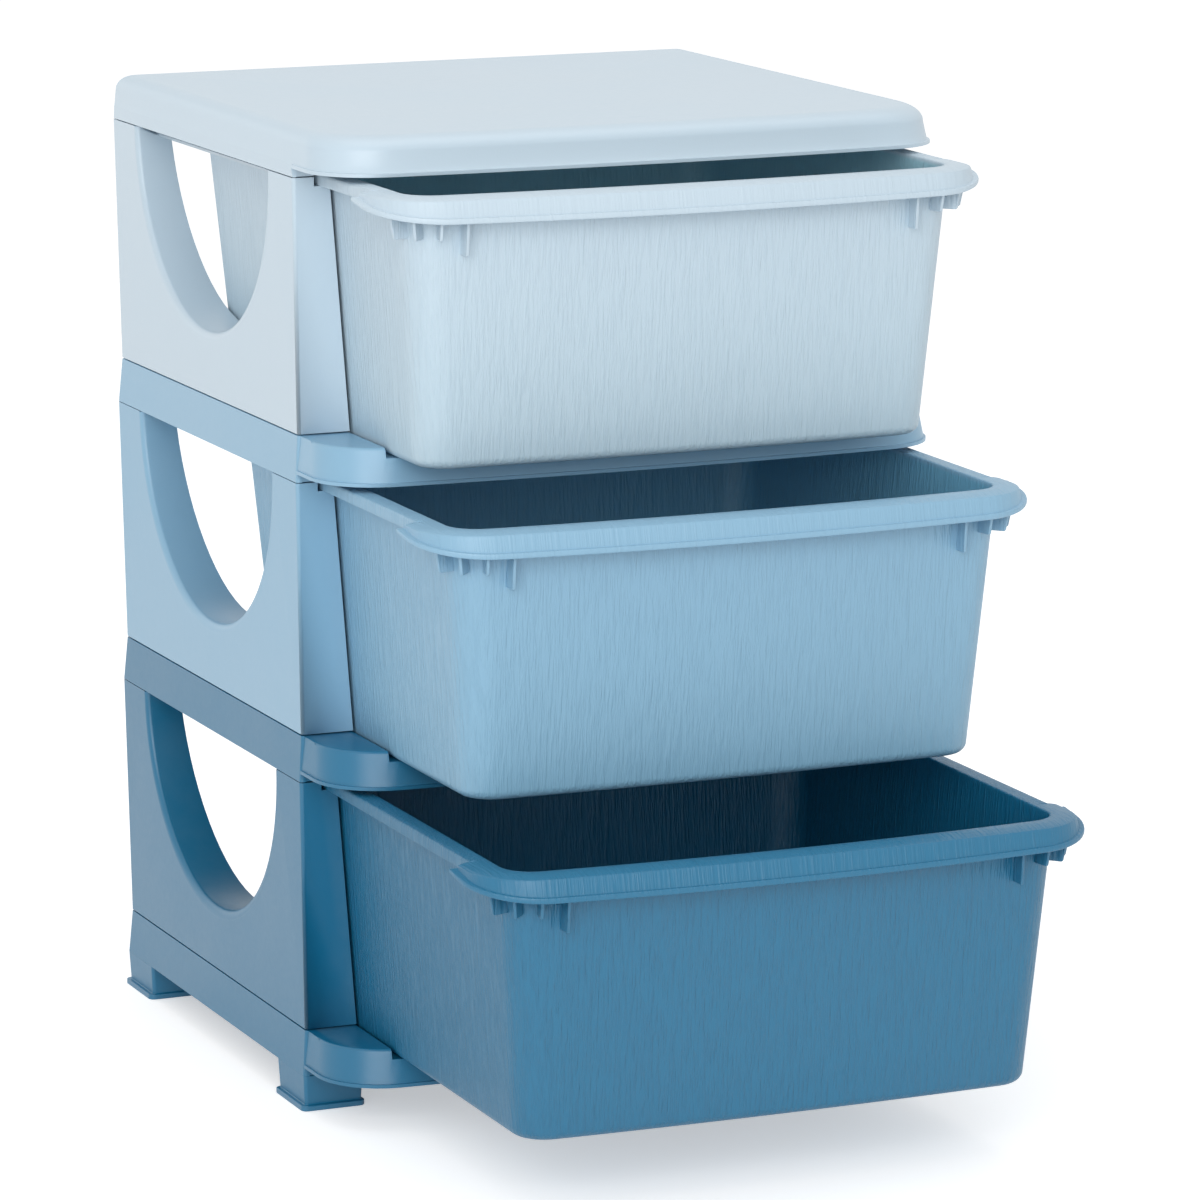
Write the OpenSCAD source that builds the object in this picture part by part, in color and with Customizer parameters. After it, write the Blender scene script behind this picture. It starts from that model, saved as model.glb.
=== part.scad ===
// Drawer tower: three hanging drawers between hollow side panels, stacked shelves, a lid,
// a base and four feet. All parts are injection moulded plastic. Z points up, the drawers
// slide out along -Y and X = 0 is the middle of the tower.

/* [Overall] */
// Width of the tower across the panels
body_w = 374; // [350:1:440]
// Depth of the side panels
body_d = 313; // [290:1:360]
// Height of one side panel between two shelves
panel_h = 145; // [120:1:200]
// Height of a shelf and of the base, from skirt edge to panel seat
shelf_h = 26; // [24:0.5:34]
// Height of the lid
lid_h = 26.5; // [24:0.5:34]
// Height of the feet
foot_h = 20.4; // [14:0.1:60]
// Wall thickness of the moulded parts
wall = 2.5; // [2:0.1:3]
// How much each side and end leans in from the top of a panel to its bottom
lean = 2; // [1:0.5:3]
// Radius of the upright edges
edge_r = 2; // [2:0.5:8]

/* [Side panels] */
// Thickness of a side panel at the runner
panel_t = 22; // [20:0.5:26]
// Depth of the runner below the panel top
runner_drop = 5.5; // [5:0.5:8]
// Thickness of the runner
runner_t = 1.6; // [1.4:0.1:2.4]
// Depth (front to back) of the side cut-out
cut_d = 228; // [160:2:234]
// Height of the side cut-out
cut_h = 107; // [60:1:112]
// Rounding of the outer rim of the cut-out
cut_round = 3; // [1.5:0.5:4]

/* [Shelves and lid] */
// How far the front lip reaches past the panels
lip_reach = 64.5; // [50:0.5:70]
// Radius of the front corners of the lip
lip_r = 38; // [30:1:46]
// Bow of the front edge
front_bow = 5; // [3:0.5:8]
// Height of the lip's lower edge above the skirt edge
lip_step = 5; // [4:0.5:8]
// Height of the panel seats above the deck
seat_h = 5.7; // [4:0.1:6]
// Inward slope of the lip face
lip_slope = 5; // [3:0.5:8]
// Inward slope of the lip at its sides
lip_side_slope = 2.4; // [1:0.2:4]
// Height of the rounding along the top edges of the lid
lid_round = 9; // [6:0.5:12]
// Width of that rounding at the sides and the rear
lid_edge = 10; // [6:0.5:14]
// Width of that rounding above the front lip
lid_brow = 14; // [8:0.5:18]
// How much the lid's walls lean in below the rounding
lid_draft = 1.2; // [1:0.1:4]

/* [Drawers] */
// Wall thickness of a drawer
drawer_wall = 2.2; // [1.8:0.1:3]
// Width of the rim flange outside the drawer wall
flange_w = 8.5; // [7.5:0.5:9.5]
// Depth of the turned-down rim flange
flange_h = 7; // [6:0.5:9]
// Distance from the panel rear to the drawer rear flange
rear_space = 5.5; // [3:0.5:20]
// Radius of the drawer's upright corners
drawer_r = 20; // [14:1:26]
// Rounding between the drawer walls and floor
floor_r = 5.5; // [4:0.5:12]
// Height of the handle lip at the front
grip_h = 14.9; // [12:0.1:20]
// Height of the handle lip at its rear ends
grip_end_h = 5.8; // [5:0.1:8]
// Distance from the panel front to the handle's rear ends
grip_gap = 5.5; // [4:0.5:10]
// Radius of the handle lip's corners
grip_r = 42; // [34:1:50]
// Drop of the long ribs below the drawer rim
rib_drop = 33; // [26:1:44]
// Drop of the short ribs around the corners
rib_short = 24; // [20:1:25]
// Thickness of the ribs below the handle
rib_t = 1.8; // [1.4:0.1:3]

/* [Fit] */
// Gap between a drawer and the pieces beside it
side_gap = 1.5; // [1.2:0.1:2]
// Gap between a drawer floor and the deck below it
floor_gap = 0.4; // [0.3:0.1:1.5]
// Gap between a rim flange and its runner
runner_gap = 0.3; // [0.2:0.05:0.5]
// Clearance of the plugs and tabs in their sockets
fit_gap = 0.3; // [0.2:0.05:0.4]

/* [Drawers pulled out] */
// Pull of the top drawer
pull_top = 75; // [0:1:230]
// Pull of the middle drawer
pull_middle = 138.5; // [0:0.5:230]
// Pull of the bottom drawer
pull_bottom = 212; // [0:1:230]

/* [Hidden] */
tint_top = [0.80, 0.86, 0.91];
tint_middle = [0.56, 0.71, 0.83];
tint_bottom = [0.27, 0.50, 0.63];

half_w = body_w / 2;
half_d = body_d / 2;
slab_t = 0.4;
pitch = panel_h + shelf_h;
bead = 1.7;
bead_h = 3.2;

// Levels of the lower faces of the stacked pieces
base_z = foot_h;
tier_z = [for (i = [0:2]) base_z + shelf_h + i * pitch];
lid_z = tier_z[2] + panel_h;

// Front of the lip, measured from mid depth
lip_front = half_d + lip_reach;

// Runner and the tapered inner side of a panel
runner_z = panel_h - runner_drop;
inner_top = half_w - panel_t;
inner_slope = 0.077;
channel_x = inner_top + flange_w - side_gap + 2.5;
beam_x = inner_top + flange_w - side_gap + 0.5;
pad_x = inner_top - inner_slope * runner_z;

// Drawer sizes: the drawer hangs from its flanges and follows the taper of the panels
drawer_half = inner_top - side_gap;
flange_half = drawer_half + flange_w;
rim_z = runner_z + runner_gap + flange_h;
drawer_z = floor_gap - seat_h;
drawer_h = rim_z - drawer_z;
rim_rear = half_d - rear_space - flange_h;
rim_front = lip_front - 14;
front_draft = 0.1;
rear_draft = 0.083;
bow_loss = 0.02;
grip_half = half_w - 4;
grip_front = lip_front + 1;
grip_rear = half_d + grip_gap;
grip_tilt = atan((grip_h - grip_end_h) / (grip_front - grip_rear));

// Joint of the panels: tabs below and lugs above
tab = [14, 22, 6];
tab_y = half_d - 22;
tab_x = half_w - panel_t + 4;
lug = [6, 20, 8];
lug_x = half_w - wall - lean / 2 - fit_gap;

// Feet
foot_w = 36;
foot_d = 45;

// Middle of the resting tower with its drawers pulled out
shift_y = (grip_front + max(pull_top, pull_middle, pull_bottom) - half_d - bead) / 2;

// Points of an arc about c, without its last point when open
function arc(c, r, from, to, n, open = false) =
    [for (i = [0:n - (open ? 1 : 0)])
        let (a = from + (to - from) * i / n) c + r * [cos(a), sin(a)]];

// Plan outline: half width w, rear edge, bowed front edge, rear and front corner radii
function outline(w, rear, front, bow, rr, rf, n = 6) =
    let (xc = w - rf,
        big = (xc * xc + bow * bow) / (2 * bow),
        yb = big - front,
        yc = yb - sqrt(pow(big - rf, 2) - xc * xc),
        turn = atan2(yb - yc, xc))
    concat(arc([w - rr, rear - rr], rr, 0, 90, n),
        arc([rr - w, rear - rr], rr, 90, 180, n),
        arc([-xc, yc], rf, 180, 180 + turn, n, true),
        arc([0, yb], big, 180 + turn, 360 - turn, 12, true),
        arc([xc, yc], rf, 360 - turn, 360, n));

// Plan outline of a box with four equal corner radii, from x0 to x1 and y0 to y1
function box_outline(x0, x1, y0, y1, r, n = 5) =
    concat(arc([x1 - r, y1 - r], r, 0, 90, n),
        arc([x0 + r, y1 - r], r, 90, 180, n),
        arc([x0 + r, y0 + r], r, 180, 270, n),
        arc([x1 - r, y0 + r], r, 270, 360, n));

module slab(z, points, t = slab_t) {
    translate([0, 0, z]) linear_extrude(t) polygon(points);
}

// Prism along X of a profile given as [y, z] points
module along_x(x0, x1, points) {
    translate([x0, 0, 0]) rotate([90, 0, 90]) linear_extrude(x1 - x0) polygon(points);
}

// Prism along Y of a profile given as [x, z] points
module along_y(y0, y1, points) {
    translate([0, y1, 0]) rotate([90, 0, 0]) linear_extrude(y1 - y0) polygon(points);
}

module box(x0, x1, y0, y1, z0, z1) {
    translate([x0, y0, z0]) cube([x1 - x0, y1 - y0, z1 - z0]);
}

module both_sides() {
    children();
    mirror([1, 0, 0]) children();
}

module both_ends() {
    children();
    mirror([0, 1, 0]) children();
}

// ---- Side panel: a hollow moulding, open to the inside, drawn for the left side ----

// Leaning outer form; inset gives the inside of the skin
module panel_form(inset) {
    hull() {
        slab(0, box_outline(lean + inset - half_w, 0, lean + inset - half_d,
            half_d - lean - inset, edge_r - inset / 2));
        slab(panel_h - slab_t, box_outline(inset - half_w, 0, inset - half_d,
            half_d - inset, edge_r - inset / 2));
    }
}

// Upright profile that a panel fills: tapered inner side and the runner notch
module panel_profile(back = 0) {
    along_y(-half_d - 1, half_d + 1, [[-half_w - 1, -1], [-pad_x - back, -1],
        [-pad_x - back, 0], [-inner_top - back, runner_z],
        [-channel_x, runner_z], [-channel_x, panel_h + 1], [-half_w - 1, panel_h + 1]]);
}

// Lower half of an ellipse as a cutter along X
function cut_outline(grow, n = 32) =
    concat([[cut_d / 2 + grow, panel_h + 5]],
        [for (i = [0:n]) let (a = -180 * i / n)
            [(cut_d / 2 + grow) * cos(a), panel_h + (cut_h + grow) * sin(a)]],
        [[-cut_d / 2 - grow, panel_h + 5]]);

module cut_rim(x, grow) {
    along_x(x, x + 0.05, cut_outline(grow));
}

// The rounded rim of the cut-out, in two steps that lean with the skin
module cut_rounding() {
    turn = atan(lean / panel_h);
    translate([0, 0, panel_h]) rotate([0, -turn, 0]) translate([0, 0, -panel_h]) {
        hull() {
            cut_rim(-half_w - 0.5, cut_round + 0.5);
            cut_rim(-half_w + cut_round * 0.3, cut_round * 0.3);
        }
        hull() {
            cut_rim(-half_w + cut_round * 0.3 - 0.1, cut_round * 0.3 + 0.05);
            cut_rim(-half_w + cut_round + 0.6, -0.3);
        }
    }
}

module panel_ribs() {
    x0 = -half_w + lean + wall / 2;
    for (y = [-cut_d / 4, 0, cut_d / 4])
        box(x0, 0, y - 0.9, y + 0.9, 1, panel_h - cut_h * sqrt(1 - pow(2 * y / cut_d, 2)) - 1);
    for (z = [panel_h * 0.32, panel_h * 0.64])
        both_ends() box(x0, 0, cut_d / 2 - 25 * (1 - z / panel_h), half_d - lean - wall / 2,
            z - 0.9, z + 0.9);
}

module panel() {
    difference() {
        intersection() {
            union() {
                difference() {
                    panel_form(0);
                    panel_form(wall);
                }
                intersection() {
                    panel_form(0);
                    union() {
                        // bottom and top walls
                        box(-half_w, 0, -half_d, half_d, 0, wall);
                        both_ends() box(-half_w, 0, cut_d / 2, half_d, panel_h - wall, panel_h);
                        // return wall of the cut-out
                        difference() {
                            along_x(-half_w, 0, cut_outline(wall));
                            along_x(-half_w - 1, 1, cut_outline(0));
                        }
                        // outer wall of the runner channel
                        box(-channel_x - runner_t, -channel_x, -half_d + lean, half_d - lean,
                            runner_z - runner_t, panel_h);
                    }
                }
            }
            panel_profile();
        }
        along_x(-half_w - 1, -beam_x, cut_outline(0));
        cut_rounding();
    }
    // ribs, set back from the drawer
    intersection() {
        difference() {
            panel_form(wall / 2);
            along_x(-half_w - 1, 1, cut_outline(wall / 2));
        }
        panel_profile(3);
        panel_ribs();
    }
    // runner that carries the rim flange of the drawer, a narrow beam over the cut-out,
    // and the stop at its rear end
    difference() {
        intersection() {
            panel_form(0);
            union() {
                box(-channel_x - runner_t, -inner_top, lean - half_d, half_d - lean,
                    runner_z - runner_t, runner_z);
                box(-channel_x - runner_t, -inner_top, rim_rear + flange_h + fit_gap, half_d,
                    runner_z - runner_t, panel_h);
            }
        }
        along_x(-half_w - 1, -beam_x, cut_outline(0));
    }
    // tabs into the shelf below, lugs into the skirt above
    both_ends() {
        box(-tab_x - tab[0] / 2, -tab_x + tab[0] / 2, tab_y - tab[1] / 2, tab_y + tab[1] / 2,
            -tab[2], 1);
        box(-lug_x, lug[0] - lug_x,
            tab_y - lug[1] / 2, tab_y + lug[1] / 2, panel_h - 1, panel_h + lug[2]);
    }
}

// ---- Shelf, base and lid ----

// Skirted body of a shelf above the panels
module shelf_form(inset, h) {
    hull() {
        slab(0, box_outline(inset - half_w, half_w - inset, inset - half_d, half_d - inset,
            edge_r - inset / 2));
        slab(h - slab_t, box_outline(lean + inset - half_w, half_w - lean - inset,
            lean + inset - half_d, half_d - lean - inset, edge_r - inset / 2));
    }
}

// Front lip: bowed, with large corners and a sloping face
module lip_form(inset, h) {
    w = half_w - 1 - inset;
    front = lip_front - inset;
    hull() {
        slab(lip_step, outline(w, -half_d / 2, front, front_bow, edge_r, lip_r - inset, 8));
        slab(h - slab_t, outline(w - lip_side_slope, -half_d / 2, front - lip_slope,
            front_bow, edge_r, lip_r - inset, 8));
    }
}

// Bead along the lower edge of a lip
module lip_bead(inset) {
    difference() {
        slab(lip_step, outline(half_w, -half_d + 3, lip_front + 0.8, front_bow,
            edge_r, lip_r + 1, 8), 2);
        slab(0, outline(half_w - wall - 1, -half_d / 2, lip_front - wall, front_bow,
            edge_r, lip_r - wall, 8), 20);
        box(-half_w - 1, half_w + 1, -half_d, half_d, 0, 20);
    }
}

// Rail that keeps the drawer rims from lifting
module hold_down(top) {
    x = flange_half - 3;
    box(x - 1, x + 1, -half_d + 1, half_d - 1, rim_z - panel_h + 1.2, top);
}

module deck_ribs(under, depth) {
    for (i = [-1:1])
        box(-pad_x, pad_x, i * half_d / 2 - 1, i * half_d / 2 + 1, under - depth, under + 0.5);
    for (x = [-pad_x / 2, pad_x / 2])
        box(x - 1, x + 1, -lip_front + 20, half_d - 1, under - depth, under + 0.5);
}

// Slots for the tabs of the panels that stand on a shelf
module tab_slots() {
    both_sides() both_ends()
        box(tab_x - tab[0] / 2 - fit_gap, tab_x + tab[0] / 2 + fit_gap,
            tab_y - tab[1] / 2 - fit_gap, tab_y + tab[1] / 2 + fit_gap,
            shelf_h - tab[2] - 1, shelf_h + 1);
}

// Hollow body of a shelf with its skirt and lip
module shelf_shell(under) {
    difference() {
        union() {
            shelf_form(0, shelf_h);
            lip_form(0, shelf_h);
        }
        // hollow underside, deeper below the seats
        intersection() {
            union() {
                shelf_form(wall, shelf_h);
                lip_form(wall, shelf_h);
                slab(-1, outline(half_w - wall - 1, -half_d / 2, lip_front - wall,
                    front_bow, edge_r, lip_r - wall, 8), lip_step + 1.2);
            }
            union() {
                box(-half_w, half_w, -lip_front, half_d, -2, under);
                both_sides() box(pad_x + wall, half_w, -lip_front, half_d, -2, shelf_h - wall);
            }
        }
        box(-half_w - 1, half_w + 1, -lip_front - 5, -half_d - 0.01, -2, lip_step);
    }
}

// Sockets in the base that take the plugs of the feet
module foot_sockets() {
    both_sides() both_ends() difference() {
        box(half_w - foot_w, half_w - wall, half_d - foot_d, half_d - wall,
            0, shelf_h - wall + 0.5);
        box(half_w - foot_w + wall, half_w, half_d - foot_d + wall, half_d,
            -1, shelf_h - wall);
    }
}

// A shelf above drawers has rails over their rims, the base has sockets for the feet
module shelf(on_feet = false) {
    under = shelf_h - seat_h - wall;
    difference() {
        union() {
            shelf_shell(under);
            lip_bead();
            deck_ribs(under, 5);
            if (on_feet) intersection() {
                shelf_form(wall / 2, shelf_h);
                foot_sockets();
            }
            else both_sides() hold_down(shelf_h - wall + 0.5);
        }
        // lowered deck between the panel seats
        box(-pad_x, pad_x, -lip_front - 1, half_d + 1, shelf_h - seat_h, shelf_h + 1);
        tab_slots();
    }
}

// Rounded plan rings of the lid, drawn in by a at the sides and by b at the front
function lid_ring(a, b) =
    outline(half_w - a, half_d - a, lip_front - b, front_bow, edge_r, lip_r, 7);

module lid_form(inset) {
    shoulder = lid_h - lid_round;
    hull() {
        slab(0, lid_ring(inset, inset));
        slab(lip_step, lid_ring(inset + 0.4, inset + 0.4));
        for (a = [0:30:90])
            slab(shoulder + lid_round * sin(a) - slab_t - inset,
                lid_ring(inset + lid_draft + lid_edge * (1 - cos(a)),
                    inset + lid_draft + 3 + lid_brow * (1 - cos(a))));
    }
}

module lid_piece() {
    difference() {
        lid_form(0);
        lid_form(wall);
        slab(-1, lid_ring(wall, wall), 2);
        box(-half_w - 1, half_w + 1, -lip_front - 5, -half_d - 0.01, -2, lip_step);
    }
    lip_bead();
    intersection() {
        lid_form(wall / 2);
        union() {
            deck_ribs(lid_h - wall, 8);
            both_sides() hold_down(lid_h);
        }
    }
}

// ---- Feet, drawn for the right rear corner ----

module foot() {
    x0 = half_w - foot_w;
    y0 = half_d - foot_d;
    difference() {
        union() {
            hull() {
                slab(0, box_outline(x0 + 1, half_w - 1, y0 + 1, half_d - 1, edge_r));
                slab(foot_h - slab_t, box_outline(x0, half_w, y0, half_d, edge_r));
            }
            slab(0, box_outline(x0 - bead + 1, half_w + bead, y0 - bead + 1,
                half_d + bead, edge_r + bead), bead_h);
            // plug that fills the socket of the base
            box(x0 + wall + fit_gap, half_w - wall - lean - fit_gap, y0 + wall + fit_gap,
                half_d - wall - lean - fit_gap, foot_h - 1, foot_h + shelf_h * 0.5);
        }
        // hollow inside, open below
        slab(-1, box_outline(x0 + wall + 3, half_w - wall - 4, y0 + wall + 3,
            half_d - wall - 4, 3), foot_h + shelf_h * 0.5 - wall + 1);
    }
}

// ---- Drawer, drawn closed, with z = 0 at its floor ----

// Outline of the drawer walls at a height z, set in by inset
function drawer_outline(z, inset) =
    let (k = drawer_h - z)
    outline(drawer_half - inner_slope * k - inset, rim_rear - rear_draft * k - inset,
        rim_front - front_draft * k - inset, front_bow + 1 - bow_loss * k,
        drawer_r - inset, drawer_r - inset);

module tub(inset) {
    top = drawer_h + (inset > 0 ? 1 : 0);
    hull() {
        slab(top - slab_t, drawer_outline(top, inset));
        slab(floor_r, drawer_outline(floor_r, inset));
        slab(inset + floor_r * 0.3, drawer_outline(0, inset + floor_r * 0.3));
        slab(inset, drawer_outline(0, inset + floor_r * 0.9));
    }
}

// Turned-down rim flange on the sides and rear
module rim_flange() {
    rear = rim_rear + flange_h;
    difference() {
        slab(drawer_h - flange_h, box_outline(-flange_half, flange_half, -grip_rear - 14,
            rear, drawer_r + 4, 7), flange_h);
        slab(drawer_h - flange_h - 1, box_outline(2 - flange_half, flange_half - 2,
            -grip_rear - 20, rear - 2, drawer_r + 2, 7), flange_h - 1);
    }
}

function grip_outline(inset) =
    outline(grip_half - inset, -grip_rear + 60, grip_front - inset, front_bow,
        10, grip_r - inset, 9);

// Outer form of the handle lip: a sloping top and a leaning face
module grip_form(inset) {
    hull() {
        slab(drawer_h - slab_t - inset, grip_outline(15 + inset));
        slab(drawer_h - slab_t - 1.8 - inset, grip_outline(5 + inset));
        slab(drawer_h - grip_h - 6, grip_outline(inset - 0.5));
    }
}

// Band between two levels that falls towards the front with the handle's lower edge
module grip_band(low, high, rear) {
    a = tan(grip_tilt);
    y0 = -grip_front - 5;
    z0 = drawer_h - grip_h - 5 * a;
    run = -rear - y0;
    along_x(-half_w, half_w, [[y0, z0 + low], [-rear, z0 + low + run * a],
        [-rear, z0 + high + run * a], [y0, z0 + high]]);
}

module grip() {
    difference() {
        union() {
            intersection() {
                grip_form(0);
                grip_band(0, 40, grip_rear);
            }
            intersection() {
                slab(0, grip_outline(0), drawer_h);
                grip_band(0, 3.4, grip_rear);
            }
        }
        intersection() {
            grip_form(drawer_wall);
            grip_band(-20, 60, grip_rear + drawer_wall);
        }
    }
}

// Upright rib below the handle lip, square to the wall that it stands on
module grip_rib(drop) {
    along_x(-rib_t / 2, rib_t / 2, [[6, drawer_h - 1.5], [-10, drawer_h - 3.5],
        [-10, drawer_h - grip_h - 1], [-8, drawer_h - drop], [6, drawer_h - drop]]);
}

// A long rib beside each front corner and three short ones around it
module grip_ribs() {
    xc = drawer_half - drawer_r;
    yc = drawer_r + front_bow - rim_front;
    both_sides() {
        translate([xc - 10, -rim_front + 5.5, 0]) grip_rib(rib_drop);
        for (a = [11, 42, 74])
            translate([xc, yc, 0]) rotate(a) translate([0, -drawer_r, 0])
                grip_rib(rib_short);
    }
}

module drawer() {
    difference() {
        union() {
            tub(0);
            rim_flange();
            grip();
            grip_ribs();
        }
        tub(drawer_wall);
    }
}

// ---- Placing ----

module placed(z = 0, y = 0) {
    translate([0, shift_y + y, z]) children();
}

module left_panel_at(i) placed(tier_z[i]) panel();

module right_panel_at(i) placed(tier_z[i]) mirror([1, 0, 0]) panel();

module drawer_at(i, pull) placed(tier_z[i] + drawer_z, -pull) drawer();

module foot_at(side, end) placed() mirror([1 - side, 0, 0]) mirror([0, 1 - end, 0]) foot();

module lid() color(tint_top) placed(lid_z) lid_piece();
module left_panel_top() color(tint_top) left_panel_at(2);
module right_panel_top() color(tint_top) right_panel_at(2);
module upper_shelf() color(tint_middle) placed(tier_z[1] + panel_h) shelf();
module left_panel_middle() color(tint_middle) left_panel_at(1);
module right_panel_middle() color(tint_middle) right_panel_at(1);
module lower_shelf() color(tint_bottom) placed(tier_z[0] + panel_h) shelf();
module left_panel_bottom() color(tint_bottom) left_panel_at(0);
module right_panel_bottom() color(tint_bottom) right_panel_at(0);
module base() color(tint_bottom) placed(base_z) shelf(true);
module foot_front_left() color(tint_bottom) foot_at(0, 0);
module foot_front_right() color(tint_bottom) foot_at(1, 0);
module foot_back_left() color(tint_bottom) foot_at(0, 1);
module foot_back_right() color(tint_bottom) foot_at(1, 1);
module drawer_top() color(tint_top) drawer_at(2, pull_top);
module drawer_middle() color(tint_middle) drawer_at(1, pull_middle);
module drawer_bottom() color(tint_bottom) drawer_at(0, pull_bottom);

lid();
left_panel_top();
right_panel_top();
upper_shelf();
left_panel_middle();
right_panel_middle();
lower_shelf();
left_panel_bottom();
right_panel_bottom();
base();
foot_front_left();
foot_front_right();
foot_back_left();
foot_back_right();
drawer_top();
drawer_middle();
drawer_bottom();
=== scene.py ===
"""Looks of the plastic drawer tower: moulded drawers, lid, shelves, side panels and feet."""

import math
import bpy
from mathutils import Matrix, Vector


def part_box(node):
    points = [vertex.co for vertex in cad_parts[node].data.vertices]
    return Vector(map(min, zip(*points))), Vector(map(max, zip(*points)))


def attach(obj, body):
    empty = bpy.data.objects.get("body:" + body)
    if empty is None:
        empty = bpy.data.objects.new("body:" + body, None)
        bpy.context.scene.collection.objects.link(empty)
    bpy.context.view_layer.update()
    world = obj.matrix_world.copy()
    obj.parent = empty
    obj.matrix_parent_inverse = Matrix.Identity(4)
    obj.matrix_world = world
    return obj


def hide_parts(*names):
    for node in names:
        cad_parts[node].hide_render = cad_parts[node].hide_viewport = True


bl_info = {
    "name": "Drawer Tower",
    "version": (1, 0, 0),
    "blender": (4, 5, 0),
    "location": "3D View > Sidebar > Tower",
    "description": "Builds the drawers, lid, shelves, panels and feet of a plastic drawer tower",
    "category": "Add Mesh",
}

import bmesh
import bpy
import numpy as np
from bpy.props import FloatProperty, FloatVectorProperty, PointerProperty
from mathutils import Matrix, Vector

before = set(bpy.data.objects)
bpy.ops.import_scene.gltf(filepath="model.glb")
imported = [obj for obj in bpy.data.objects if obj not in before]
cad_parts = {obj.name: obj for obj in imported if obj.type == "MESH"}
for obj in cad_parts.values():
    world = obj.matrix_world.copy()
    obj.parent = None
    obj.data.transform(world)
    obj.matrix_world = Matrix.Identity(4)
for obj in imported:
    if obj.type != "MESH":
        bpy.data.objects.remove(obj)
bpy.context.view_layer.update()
MM = 0.001
TIERS = ("top", "middle", "bottom")


# ---- Sizes and colours that a user would change ----

def length(name, text, value_mm):
    return FloatProperty(name=name, description=text, default=value_mm * MM,
                         subtype="DISTANCE", unit="LENGTH", precision=5)


def slope(name, text, value):
    return FloatProperty(name=name, description=text, default=value)


def colour(name, text, value):
    return FloatVectorProperty(name=name, description=text, default=value, size=3,
                               min=0.0, max=1.0, subtype="COLOR")


class DrawerSizes(bpy.types.PropertyGroup):
    wall: length("Wall", "Wall thickness of a drawer", 2.2)
    half_width: length("Half width", "Half width of the tub at its rim", 163.5)
    rear: length("Rear", "Rear face of the tub from mid depth, closed", 144)
    side_lean: slope("Side lean", "Slope of the tub's sides", 0.077)
    front_lean: slope("Front lean", "Slope of the tub's front", 0.1)
    rear_lean: slope("Rear lean", "Slope of the tub's rear", 0.083)
    corner: length("Corner", "Radius of the tub's upright corners", 20)
    bow: length("Bow", "Bow of the tub's front at the rim", 6)
    bow_loss: slope("Bow loss", "Share of its depth by which the front's bow fades towards "
                    "the floor", 0.02)
    floor_round: length("Floor rounding", "Rounding between walls and floor", 5.5)
    flange: length("Flange", "Width of the rim flange", 8.5)
    flange_rear: length("Rear flange", "Width of the rim flange at the rear", 7)
    flange_drop: length("Flange drop", "Height of the turned-down rim", 7)
    grip_half: length("Grip half width", "Half width across the handle lip", 183)
    grip_front: length("Grip front", "Front of the handle lip from mid depth, closed", 222)
    grip_rear: length("Grip rear", "Rear ends of the handle lip from mid depth", 162)
    grip_reach: length("Grip reach", "From the tub's front to the front of the handle lip", 15)
    grip_corner: length("Grip corner", "Corner radius of the handle lip", 42)
    grip_bow: length("Grip bow", "Bow of the handle lip", 5)
    grip_height: length("Grip height", "Height of the handle lip at the front", 14.9)
    grip_end: length("Grip end height", "Height of the handle lip at its ends", 5.8)
    grip_bead: length("Grip bead", "Height of the bead along the handle lip", 3.4)
    rib: length("Rib", "Thickness of the ribs below the handle lip", 1.8)
    rib_drop: length("Rib drop", "Depth of the long ribs below the rim", 33)
    rib_short: length("Short rib drop", "Depth of the short ribs below the rim", 24)


class TowerSizes(bpy.types.PropertyGroup):
    half_depth: length("Half depth", "Half depth of the tower body", 156.5)
    half_width: length("Half width", "Half width of the tower body", 187)
    wall: length("Wall", "Wall thickness of lid, shelves and panels", 2.5)
    lip_front: length("Lip front", "Front of the lid's lip from mid depth", 221)
    lip_corner: length("Lip corner", "Corner radius of the lip", 38)
    lip_step: length("Lip step", "Height of the lip's edge above the skirt's edge", 5)
    lip_bow: length("Lip bow", "Bow of the lip", 5)
    lid_round: length("Lid rounding", "Height of the rounding along the lid's top edges", 9)
    lid_edge: length("Lid edge", "Width of that rounding at the sides and the rear", 10)
    lid_brow: length("Lid brow", "Width of that rounding above the front lip", 14)
    lid_draft: length("Lid draft", "Lean of the lid's walls below the rounding", 1.2)
    edge: length("Edge", "Radius of the upright rear edges", 2)
    lean: length("Lean", "How far a panel's skin leans in from its top to its bottom", 2)
    cut_half: length("Cut-out half width", "Half width of the side cut-outs", 114)
    cut_depth: length("Cut-out depth", "Height of the side cut-outs", 107)
    cut_round: length("Cut-out rounding", "Rounding of the outer rim of a cut-out", 3)
    cut_fall: length("Cut-out fall", "Extra reach of the rim's outer tongue at its lowest "
                     "point", 2.6)
    channel: length("Channel", "Half width between the runner channels", 174.5)
    soft_edge: length("Soft edge", "Rounding of moulded edges", 0.6)
    lip_edge: length("Lip edge", "Rounding along the top of a shelf's lip", 1.8)
    seam: length("Seam", "Gap that shows between stacked pieces", 0.9)


class TowerColours(bpy.types.PropertyGroup):
    pale: colour("Pale", "Lid, top panels and top drawer", (0.54, 0.66, 0.75))
    middle: colour("Middle", "Upper shelf, middle panels and drawer", (0.245, 0.45, 0.615))
    deep: colour("Deep", "Lower shelf, base, bottom panels and drawer", (0.004, 0.152, 0.29))
    floor: colour("Floor", "Ground and backdrop", (0.92, 0.92, 0.92))


# ---- Surfaces ----

LEAST_STEP = 2e-4       # least distance between the points of a straight side and its corners
DOUBLE = 1e-6           # points closer than this count as one
REAR_POINTS = 7         # points along the straight rear of an outline


def arc(cx, cy, r, start, end, n):
    """n points of a circle of radius r about (cx, cy), from one angle to the other."""
    a = np.radians(np.linspace(start, end, n))
    return np.stack([cx + r * np.cos(a), cy + r * np.sin(a)], axis=1)


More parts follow.
